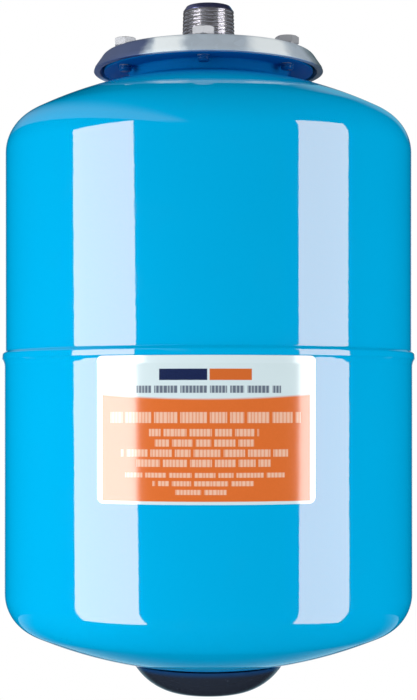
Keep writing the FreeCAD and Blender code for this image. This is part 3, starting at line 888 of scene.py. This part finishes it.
def printed_label(tones, sizes):
    """White label with a dark and an orange bar at its head, over an orange field with lines of pale bars."""
    f = new_finish("printed_label")
    place = f.place()
    x, y, z = f.parts(place)
    middle = sizes.centre + math.pi / 2
    turn = x.maths("ARCTAN2", 0.0 - y) - middle
    across = turn * (sizes.radius / MM)
    up = z * (1 / MM) - sizes.bottom / MM
    # Each row of print, 4.5 mm high, has its own words and letters
    row = ((up - 2.8) * (1 / 4.5)).least(7.5).maths("FLOOR", 0.0)
    cells = {"voronoi_dimensions": "1D", "feature": "DISTANCE_TO_EDGE"}
    sockets = {"W": across * 0.09 + row * 5.3, "Scale": 1.0}
    long_gap = f.node("ShaderNodeTexVoronoi", cells, sockets, "Distance")
    sockets = {"W": across + row * 3.1, "Scale": 0.62, "Randomness": 0.6}
    short_gap = f.node("ShaderNodeTexVoronoi", cells, sockets, "Distance")
    gaps = long_gap.between(0.04, 0.08) * (short_gap.between(0.05, 0.3) * 0.5 + 0.4)
    top = FIELD_TOP + across * across * FIELD_SMILE
    field = bar(across, up, *FIELD) * (top - up).maths("ADD", 0.5, clamp=True)
    pale = bar(across, up, *PALE_LINES[0])
    for line in PALE_LINES[1:]:
        pale = pale.most(bar(across, up, *line))
    navy = bar(across, up, *NAVY_BAR).most(bar(across, up, *NAVY_LINE) * gaps * 0.9)
    accent = bar(across, up, *ORANGE_BAR)
    fibre = f.noise(place, 900.0, 3.0)
    orange = f.mix(fibre, shade(tones["orange"], 0.96), shade(tones["orange"], 1.04))
    base = f.mix(field, tones["paper"], orange)
    base = f.mix(pale * gaps * 0.66, base, tones["cream"])
    base = f.mix(navy, base, tones["navy"])
    base = f.mix(accent, base, shade(tones["orange"], 0.9))
    wave = f.noise(place, 35.0, 2.0)
    return f.surface(
        base_color=base,
        roughness=fibre * 0.06 + 0.10,
        ior=2.6,
        normal=f.bump(wave, 0.00005),
    )


FINISHES = {}


def finishes():
    """Every finish by its short name, made once."""
    if not FINISHES:
        colours = bpy.context.scene.tank_colours
        tones = {name: tuple(getattr(colours, name)) for name in Colours.__annotations__}
        zincs = [tones[name] for name in ("zinc", "bright_zinc", "grey_zinc", "zinc_dark_reflection")]
        FINISHES.update(
            paint=gloss_paint(tones["paint"]),
            zinc=zinc_plate(*zincs),
            steel=turned_steel("turned_steel", tones["steel"], 0.14, 9000.0, 0.88, tones["tip"]),
            plating=plated_steel("bright_plating", tones["plating"], 0.25, 0.4, tones["bolt_ends"]),
            ring=plated_steel("plain_plating", tones["ring"], 0.30, 1.0),
            wire=turned_steel("drawn_wire", tones["plating"], 0.2, 4000.0),
            brass=turned_steel("turned_brass", tones["brass"], 0.2, 7000.0),
            rubber=moulded_rubber("moulded_rubber", tones["rubber"], 0.6),
            cap=black_plastic("matt_black", tones["black"], tones["rim"], 0.42),
            gloss=black_plastic("gloss_black", tones["black"], tones["rim"], 0.12),
            label=printed_label(tones, bpy.context.scene.tank_label),
        )
    return FINISHES


# Pieces


def seat(piece, material, body, slot, *nodes):
    """Gives a finished piece its material, its body and the nodes that it stands for; the slot is not used.
    """
    piece.data.materials.clear()
    piece.data.materials.append(material)
    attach(piece, body)
    if nodes:
        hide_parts(*nodes)


class TANK_OT_upper_shell(bpy.types.Operator):
    """Draws the upper shell: its lip, neck, dished head, wall and belled rim"""

    bl_idname = "tank.upper_shell"
    bl_label = "Upper Shell"

    def execute(self, context):
        s = context.scene.tank_shell
        centre = (s.upper_radius - s.knuckle, s.top_tangent)
        joint = math.degrees(math.atan2(s.top_tangent - s.top_crown_height, centre[0]))
        crown_start = math.degrees(math.acos(s.neck_edge / s.top_crown))

        def crown(r):
            return s.top_crown_height + math.sqrt(s.top_crown ** 2 - r ** 2)

        face = bent([
            (s.lip_radius, s.lip_under, 0),
            (s.neck_radius, s.lip_under, s.lip_bend),
            (s.neck_radius, crown(s.neck_radius), s.neck_bend),
            (s.neck_edge, crown(s.neck_edge), 0),
        ])
        face += arc((0, s.top_crown_height), s.top_crown, crown_start, joint, steps=20)[1:]
        face += arc(centre, s.knuckle, joint, 0, steps=20)[1:]
        face += bent([
            (s.upper_radius, s.top_tangent - MM, 0),
            (s.upper_radius, s.crease + 2 * MM, 0),
            (s.upper_radius, s.crease, s.crease_bend),
            (s.shoulder_radius, s.rim_top, s.shoulder_bend),
            (s.rim_radius, s.rim_edge, 0),
        ])
        piece = turned("upper_shell_skin", sheet(face, s.sheet), s.around)
        seat(piece, finishes()["paint"], BODY, "blue_paint", "upper_shell")
        return {"FINISHED"}


class TANK_OT_lower_shell(bpy.types.Operator):
    """Draws the lower shell: its wall, dished head and the recess round the air valve"""

    bl_idname = "tank.lower_shell"
    bl_label = "Lower Shell"

    def execute(self, context):
        s = context.scene.tank_shell
        centre = (s.lower_radius - s.knuckle, s.bottom_tangent)
        joint = math.degrees(math.atan2(s.bottom_tangent - s.bottom_crown_height, centre[0]))
        crown_end = -math.degrees(math.acos(s.recess_edge / s.bottom_crown))

        def crown(r):
            return s.bottom_crown_height - math.sqrt(s.bottom_crown ** 2 - r ** 2)

        face = [(s.lower_radius, s.lap_top), (s.lower_radius, s.bottom_tangent + MM)]
        face += arc(centre, s.knuckle, 0, joint, steps=20)
        face += arc((0, s.bottom_crown_height), s.bottom_crown, joint, crown_end, steps=24)[1:-1]
        face += bent([
            (s.recess_edge, crown(s.recess_edge), 0),
            (s.recess_radius, crown(s.recess_radius), s.recess_bend),
            (s.recess_radius, s.recess_floor, s.floor_bend),
            (s.valve_hole, s.recess_floor, 0),
        ])
        piece = turned("lower_shell_skin", sheet(face, s.sheet), s.around)
        seat(piece, finishes()["paint"], BODY, "blue_paint", "lower_shell")
        return {"FINISHED"}


class TANK_OT_seam_weld(bpy.types.Operator):
    """Lays the weld bead under the upper shell's belled rim"""

    bl_idname = "tank.seam_weld"
    bl_label = "Seam Weld"

    def execute(self, context):
        s = context.scene.tank_shell
        tall = s.rim_edge - s.weld_foot
        wide = s.rim_radius - s.lower_radius - 0.1 * MM

        def row(share):
            # The bead's face is hollow, and its scallops bunch up in places over a slow swell
            r = s.lower_radius + wide * (1 - share) ** 2.2
            z = s.rim_edge - tall * share
            wander = s.weld_ripple * math.sin(math.pi * share)

            def at(turn):
                scallops = math.sin(turn * s.weld_scallops + 2.1 * math.sin(turn * 5))
                swell = 0.7 * math.sin(turn * 11 + 1.3)
                return r + wander * (0.6 * (scallops + swell) - 1.0), z

            return at

        back = s.lower_radius - 0.02 * MM
        rows = [row(k / 8) for k in range(9)] + [(back, s.weld_foot), (back, s.rim_edge)]
        piece = turned("seam_weld_bead", rows, s.weld_around)
        seat(piece, finishes()["paint"], BODY, "blue_paint", "seam_weld")
        return {"FINISHED"}


class TANK_OT_cover_plate(bpy.types.Operator):
    """Presses the cover plate: its flat top, bent skirt and edge band"""

    bl_idname = "tank.cover_plate"
    bl_label = "Cover Plate"

    def execute(self, context):
        c = context.scene.tank_cover
        outline = bent([
            (c.hole, 0, 0),
            (c.corner, 0, c.bend),
            (c.band_radius, c.band_top, c.band_bend),
            (c.edge_radius, c.edge, c.edge_bend),
            (c.inner_edge, c.edge, c.edge_bend),
            (c.inner_corner, -c.plate, c.inner_bend),
            (c.hole, -c.plate, 0),
        ], step=6.0)
        piece = turned("cover_plate", outline, c.around, sharp=40.0)
        seat(piece, finishes()["zinc"], BODY, "galvanised_steel", "cover_flange")
        return {"FINISHED"}


class TANK_OT_nipple(bpy.types.Operator):
    """Turns the nipple with its taper thread, chamfered end and shoulder"""

    bl_idname = "tank.nipple"
    bl_label = "Nipple"

    def execute(self, context):
        n = context.scene.tank_nipple
        under_cover = -context.scene.tank_cover.plate
        slope = (n.radius - n.taper * n.lead - n.lead_radius) / (n.top - n.lead)

        def crest(z):
            plain = n.radius - n.taper * max(z, 0)
            chamfer = n.lead_radius + (n.top - z) * slope
            return min(plain, chamfer)

        thread = thread_rows(n.thread_foot, n.lead + n.run_out, n.rows_a_pitch, n.pitch, n.depth, crest)
        rows = [
            (n.bore, n.shoulder_under),
            (n.shoulder, n.shoulder_under),
            (n.shoulder, under_cover),
            (n.spigot, under_cover),
            (n.spigot, 0),
            (n.radius, 0),
            *thread,
            (crest(n.top), n.top),
            (n.bore + n.bore_chamfer, n.top),
            (n.bore, n.top - n.bore_chamfer),
        ]
        piece = turned("threaded_nipple", rows, n.around)
        seat(piece, finishes()["steel"], BODY, "nipple_steel", "inlet_nipple")
        return {"FINISHED"}


class TANK_OT_bolts(bpy.types.Operator):
    """Sets the hexagon bolts round the cover"""

    bl_idname = "tank.bolts"
    bl_label = "Bolts"

    def execute(self, context):
        b = context.scene.tank_bolts
        half = b.flats / 2
        slope = math.tan(b.chamfer)

        def corner(turn):
            return half / math.cos(turn % (math.pi / 3) - math.pi / 6)

        def side(turn):
            return corner(turn), b.head - (corner(turn) - b.top_circle) * slope

        def foot(turn):
            broken_edge = 0.05 * MM
            return corner(turn) - broken_edge, b.washer_face

        thread = thread_rows(b.point - b.under, -b.plain, 8, b.pitch, b.depth, lambda z: b.radius)
        rows = [
            (0, -b.under),
            (b.radius - b.point, -b.under),
            *thread,
            (b.radius, 0),
            (b.washer_circle, 0),
            (b.washer_circle, b.washer_face),
            foot,
            side,
            (b.top_circle, b.head),
            (half / 2, b.head - 0.8 * b.dish),
            (0, b.head - b.dish),
        ]
        bolt = turned("bolt", rows, b.around, closed=False, sharp=28.0)
        finish = finishes()["plating"]
        piece = round_a_circle("cover_bolts", bolt, b.number, b.circle, b.first, finish, b.twist)
        seat(piece, finish, BODY, "bolt_steel", "flange_bolts")
        return {"FINISHED"}


class TANK_OT_bladder(bpy.types.Operator):
    """Moulds the rubber bladder and its clamped bead"""

    bl_idname = "tank.bladder"
    bl_label = "Bladder"

    def execute(self, context):
        b = context.scene.tank_bladder
        lip = 2.2 * MM
        outside = bent([
            (b.mouth - b.wall, b.bead_top, 0),
            (b.bead, b.bead_top, b.bead_round),
            (b.bead, b.bead_under, b.bead_foot),
            (b.mouth + lip, b.bead_under, 0),
            (b.mouth, b.bead_under - lip, b.mouth_round),
            (b.mouth, b.mouth_end, b.flare),
            (b.bag, b.bag_top, b.bag_round),
            (b.bag, b.bag_bottom, b.bag_round),
            (b.end, b.end_height, b.end_round),
            (0, b.end_height, 0),
        ], step=6.0)
        straight = [r < b.mouth + 0.01 * MM and z < b.bead_under - lip for r, z in outside]
        inside = beside(outside[straight.index(True):], b.wall)
        piece = turned("bladder_bag", outside + inside[::-1], b.around)
        seat(piece, finishes()["rubber"], BODY, "bladder_rubber", "bladder")
        return {"FINISHED"}


class TANK_OT_spring(bpy.types.Operator):
    """Winds the spring in the air valve"""

    bl_idname = "tank.spring"
    bl_label = "Valve Spring"

    def execute(self, context):
        v = context.scene.tank_valve
        finish = finishes()["wire"]
        piece = wound_wire("spring_coil", v.coil, v.wire, v.coil_turns, v.coil_foot, v.coil_top, finish)
        piece.data.shade_smooth()
        seat(piece, finish, BODY, "spring_steel", "valve_spring")
        travel = next(j["range_m"][1] for j in frame["joints"] if j["name"] == "pin_press")
        whole = v.coil_top - v.coil_foot + 2 * v.wire
        1 - travel / whole
        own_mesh(piece)
        return {"FINISHED"}


class TANK_OT_dust_cap(bpy.types.Operator):
    """Moulds the screwed cap on the air valve, with grip ribs"""

    bl_idname = "tank.dust_cap"
    bl_label = "Dust Cap"

    def execute(self, context):
        v = context.scene.tank_valve
        core = v.cap_radius - v.rib
        body = turned("cap_body", bent([
            (0, v.cap_end, 0),
            (core, v.cap_end, v.cap_round),
            (core, v.cap_top, v.cap_lip),
            (v.cap_bore, v.cap_top, v.cap_lip),
            (v.cap_bore, v.cap_inside, 0),
            (0, v.cap_inside, 0),
        ]), v.cap_around, closed=False)
        low, high = v.cap_end + 0.7 * MM, v.cap_top - 0.3 * MM
        ramp = 0.3 * MM
        foot, crest = (-0.1 * MM, v.rib_width / 2), (v.rib, v.rib_width * 0.3)
        ends = [(*foot, low), (*crest, low + ramp), (*crest, high - ramp), (*foot, high)]
        points = [(out, side * half, z) for out, half, z in ends for side in (-1, 1)]
        faces = [(0, 1, 3, 2), (2, 3, 5, 4), (4, 5, 7, 6), (6, 7, 1, 0), (0, 2, 4, 6), (1, 7, 5, 3)]
        rib = make_object("cap_rib", points, faces)
        finish = finishes()["cap"]
        ribs = round_a_circle("cap_ribs", rib, v.ribs, core, 0.0, finish)
        piece = merged("dust_cap_moulding", body, ribs)
        seat(piece, finish, BODY, "dust_cap_plastic", "dust_cap")
        return {"FINISHED"}


class TANK_OT_valve_cover(bpy.types.Operator):
    """Moulds the black cover over the air valve, with the fingers that hold it"""

    bl_idname = "tank.valve_cover"
    bl_label = "Valve Cover"

    def execute(self, context):
        v = context.scene.tank_valve
        centre = (v.cover_flat, v.cover_end + v.cover_round)
        slope = math.degrees(v.cover_slope)
        face = [(v.cover_rim_radius, v.cover_rim)]
        face += arc(centre, v.cover_round, -slope, -90, steps=20)
        face += [(0, v.cover_end)]
        outline = sheet(face, v.cover_wall)
        outline[-1] = (outline[-1][0], v.cover_rim)
        bowl = turned("cover_bowl", outline, v.cover_around)
        outer = v.finger_radius + v.finger_wall
        finger = turned(
            "cover_finger",
            bent([
                (v.finger_radius, v.finger_foot, 0),
                (outer, v.finger_foot, 0),
                (outer, v.finger_top, v.finger_round),
                (v.finger_radius, v.finger_top, v.finger_lead),
            ]),
            v.finger_steps,
            start=-v.finger_angle / 2,
            sweep=v.finger_angle,
        )
        finish = finishes()["gloss"]
        fingers = round_a_circle("cover_fingers", finger, v.fingers, 0.0, 0.0, finish)
        piece = merged("valve_cover_moulding", bowl, fingers)
        seat(piece, finish, COVER_BODY, "cover_plastic", "valve_cover")
        return {"FINISHED"}


class TANK_OT_label(bpy.types.Operator):
    """Sticks the label on the lower shell, its top edge on the seam's weld"""

    bl_idname = "tank.label"
    bl_label = "Label"

    def execute(self, context):
        p = context.scene.tank_label
        s = context.scene.tank_shell
        half_width = p.half_angle * p.radius
        # Rows lie closer at the corners, and on both sides of the line where the paper leaves the weld
        quarter = [math.pi / 2 * k / 6 for k in range(7)]
        heights = [p.top - p.corner * (1 - math.cos(turn)) for turn in quarter]
        heights += [s.weld_foot + d * MM for d in (0.5, 0.0, -0.6)]
        start = heights[-1]
        span = start - (p.bottom + p.corner)
        heights += [start - span * k / p.rows for k in range(1, p.rows + 1)]
        heights += [p.bottom + p.corner * (1 - math.sin(turn)) for turn in quarter[1:]]
        heights = sorted(set(round(z, 7) for z in heights), reverse=True)
        vertices = []
        for proud in (p.paper, 0.0):
            for z in heights:
                into = max(p.corner - min(p.top - z, z - p.bottom), 0)
                half = half_width - p.corner + math.sqrt(max(p.corner ** 2 - into ** 2, 0))
                lean = min(max((z - s.weld_foot) / (p.top - s.weld_foot), 0), 1)
                r = p.radius + (p.top_radius - p.radius) * lean + proud
                for k in range(p.columns + 1):
                    turn = p.centre + half * (2 * k / p.columns - 1) / p.radius
                    vertices.append((r * math.cos(turn), r * math.sin(turn), z))
        wide, tall = p.columns + 1, len(heights)
        back = wide * tall
        faces = []
        for j in range(tall - 1):
            for k in range(p.columns):
                a = j * wide + k
                faces.append((a, a + wide, a + wide + 1, a + 1))
                faces.append((back + a, back + a + 1, back + a + wide + 1, back + a + wide))
        border = list(range(p.columns))
        border += [j * wide + p.columns for j in range(tall - 1)]
        border += [(tall - 1) * wide + k for k in range(p.columns, 0, -1)]
        border += [j * wide for j in range(tall - 1, 0, -1)]
        faces += [(a, b, back + b, back + a) for a, b in zip(border, border[1:] + border[:1])]
        piece = make_object("label_sheet", vertices, faces)
        seat(piece, finishes()["label"], BODY, "label_paper", "rating_label")
        return {"FINISHED"}


# CAD nodes whose shape stays, and the finish of each
PLAIN_NODES = {
    "clamp_ring": "ring",
    "nipple_weld": "zinc",
    "valve_washer": "plating",
    "valve_nut": "brass",
    "air_valve_body": "brass",
    "valve_core": "brass",
    "valve_pin": "brass",
    "valve_gasket": "rubber",
    "valve_core_seal": "rubber",
    "valve_pin_seal": "rubber",
    "dust_cap_seal": "rubber",
}


class TANK_OT_plain_nodes(bpy.types.Operator):
    """Gives the pieces whose CAD shape stays their finishes"""

    bl_idname = "tank.plain_nodes"
    bl_label = "Plain Pieces"

    def execute(self, context):
        made = finishes()
        for name, finish in PLAIN_NODES.items():
            node = frame["nodes"][name]
            node.data.materials.clear()
            node.data.materials.append(made[finish])
        return {"FINISHED"}


# Stage


# Metres from the tank's axis between which the floor turns into light, and behind it, into light for gloss
FLOOR_FADE = (0.45, 0.95)
FLOOR_BEHIND = (0.55, 1.5)

# The room's panels, in parts of a direction of length 1: where each starts, is full, starts to fall and ends
BACKDROP = (0.955, 0.985)
CEILING_LEFTWARD = (0.5, 0.95, 1.5, 1.62)
CEILING_RISE = (0.2, 0.38)
RIM_ACROSS = (0.09, 0.12, 0.32, 0.44)
RIM_AWAY = (0.50, 0.65)
RIM_RISE = (0.18, 0.26, 0.40, 0.58)

# Colours of the room's light, and of the light that gloss shows from the floor and from the rim's panel
WHITE = (1.0, 1.0, 1.0)
PALE_BLUE = (0.5, 0.84, 1.0)
DEEP_BLUE = (0.30, 0.78, 1.0)


def softbox(name, near, far, low, high, level, lean=0.0):
    """A tall softbox over the line from a near to a far place, with its top leaning outwards."""
    lamp = bpy.data.lights.new(name, "AREA")
    lamp.shape = "RECTANGLE"
    lamp.size = math.dist(near, far)
    lamp.size_y = high - low
    lamp.energy = level * math.pi * lamp.size * lamp.size_y
    made = add_object(name, lamp)
    made.location = ((near[0] + far[0]) / 2, (near[1] + far[1]) / 2, (low + high) / 2)
    across = math.atan2(far[1] - near[1], far[0] - near[0])
    facing = across if math.copysign(1, far[0]) > 0 else across + math.pi
    made.rotation_euler = (math.pi / 2, -lean, facing)
    made.visible_camera = False


def pale_floor(tone, light):
    """Matt pale floor under the tank that turns into plain light far out, and is clear from below."""
    f = new_finish("pale_floor")
    x, y = f.parts(f.place())[:2]
    far = (x * x + y * y).maths("POWER", 0.5).between(*FLOOR_FADE)
    seen = f.node("ShaderNodeLightPath", None, None, "Is Camera Ray")
    mirrored = f.node("ShaderNodeLightPath", None, None, "Is Glossy Ray")
    matt = f.node("ShaderNodeBsdfDiffuse", None, {"Color": (*tone, 1.0)})
    bounce = (1 - seen.most(mirrored)) * (1 - x.most(0.0) * 0.5) * light
    strength = seen + mirrored * y.between(*FLOOR_BEHIND) * 0.7 + bounce
    glow_tone = f.mix(mirrored, WHITE, PALE_BLUE)
    glow = f.node("ShaderNodeEmission", None, {"Color": glow_tone, "Strength": strength})
    mixed = f.node("ShaderNodeMixShader", None, {0: far.most(mirrored), 1: matt, 2: glow})
    under = f.node("ShaderNodeNewGeometry", None, None, "Backfacing")
    clear = f.node("ShaderNodeBsdfTransparent")
    return f.end(f.node("ShaderNodeMixShader", None, {0: under, 1: mixed, 2: clear}))


def studio(sky_level, panel_level, rim_level):
    """The room: white behind the tank, plain light on it, and panels that only its gloss shows."""
    world = bpy.data.worlds.new("studio")
    w = Finish(world)
    way = w.parts(w.node("ShaderNodeTexCoord", None, None, "Generated"))
    camera_ray = w.node("ShaderNodeLightPath", None, None, "Is Camera Ray")
    glossy_ray = w.node("ShaderNodeLightPath", None, None, "Is Glossy Ray")
    clear_ray = w.node("ShaderNodeLightPath", None, None, "Is Transmission Ray")
    backdrop = way[1].between(*BACKDROP)
    leftward = (0.0 - way[0]).maths("DIVIDE", way[2].most(0.05))
    panel = leftward.within(*CEILING_LEFTWARD) * way[2].between(*CEILING_RISE)
    rim = way[0].within(*RIM_ACROSS) * way[1].between(*RIM_AWAY) * way[2].within(*RIM_RISE) * glossy_ray
    mirrored = glossy_ray.most(clear_ray) * backdrop.most(panel * panel_level).most(rim * rim_level)
    room = (1 - glossy_ray.most(clear_ray)) * (1 - way[0].most(0.0) * 0.3) * sky_level
    room = room * (way[2].most(0.0) * 0.8 + 0.8)
    level = camera_ray.most(mirrored + room)
    tone = w.mix(rim, WHITE, DEEP_BLUE)
    sky = w.node("ShaderNodeBackground", None, {"Color": tone, "Strength": level})
    w.node("ShaderNodeOutputWorld", None, {"Surface": sky})
    return world


class TANK_OT_stage(bpy.types.Operator):
    """Sets the floor, the lamps, the room and the camera"""

    bl_idname = "tank.stage"
    bl_label = "Stage"

    def execute(self, context):
        scene = context.scene
        s = scene.tank_stage
        floor = turned("floor", [(0, s.floor), (s.floor_radius, s.floor)], 128, closed=False)
        floor.data.flip_normals()
        floor.data.materials.append(pale_floor(tuple(s.floor_tone), s.floor_level))
        softbox("left_softbox", s.left_near, s.left_far, s.box_foot, s.left_top, s.left_level, s.left_lean)
        softbox("right_softbox", s.right_near, s.right_far, s.box_foot, s.right_top, s.right_level)
        scene.world = studio(s.sky_level, s.panel_level, s.rim_level)
        lens = bpy.data.cameras.new("camera")
        lens.lens = s.lens
        lens.shift_y = s.shift
        camera = add_object("camera", lens)
        camera.location = (0, -s.camera_distance, s.eye_level)
        camera.rotation_euler = (math.pi / 2, 0, 0)
        scene.camera = camera
        scene.view_settings.view_transform = "Standard"
        return {"FINISHED"}


GROUPS = {
    "tank_shell": ShellSizes,
    "tank_cover": CoverSizes,
    "tank_nipple": NippleSizes,
    "tank_bolts": BoltSizes,
    "tank_bladder": BladderSizes,
    "tank_valve": ValveSizes,
    "tank_label": LabelSizes,
    "tank_colours": Colours,
    "tank_stage": StageSizes,
}

OPERATORS = [
    TANK_OT_upper_shell,
    TANK_OT_lower_shell,
    TANK_OT_seam_weld,
    TANK_OT_cover_plate,
    TANK_OT_nipple,
    TANK_OT_bolts,
    TANK_OT_bladder,
    TANK_OT_spring,
    TANK_OT_dust_cap,
    TANK_OT_valve_cover,
    TANK_OT_label,
    TANK_OT_plain_nodes,
    TANK_OT_stage,
]


class TANK_PT_pieces(bpy.types.Panel):
    """Lists the tank's pieces and their sizes"""

    bl_idname = "TANK_PT_pieces"
    bl_label = "Accumulator Tank"
    bl_space_type = "VIEW_3D"
    bl_region_type = "UI"
    bl_category = "Tank"

    def draw(self, context):
        for operator in OPERATORS:
            self.layout.operator(operator.bl_idname)
        for name, group in GROUPS.items():
            box = self.layout.box()
            box.label(text=group.__doc__)
            for size in group.__annotations__:
                box.prop(getattr(context.scene, name), size)


def register():
    for group in GROUPS.values():
        bpy.utils.register_class(group)
    for name, group in GROUPS.items():
        setattr(bpy.types.Scene, name, PointerProperty(type=group))
    for made in [*OPERATORS, TANK_PT_pieces]:
        bpy.utils.register_class(made)


def unregister():
    for made in [TANK_PT_pieces, *reversed(OPERATORS)]:
        bpy.utils.unregister_class(made)
    for name, group in GROUPS.items():
        delattr(bpy.types.Scene, name)
        bpy.utils.unregister_class(group)


def main():
    register()
    for operator in OPERATORS:
        group, name = operator.bl_idname.split(".")
        getattr(getattr(bpy.ops, group), name)()


if __name__ == "__main__":
    main()
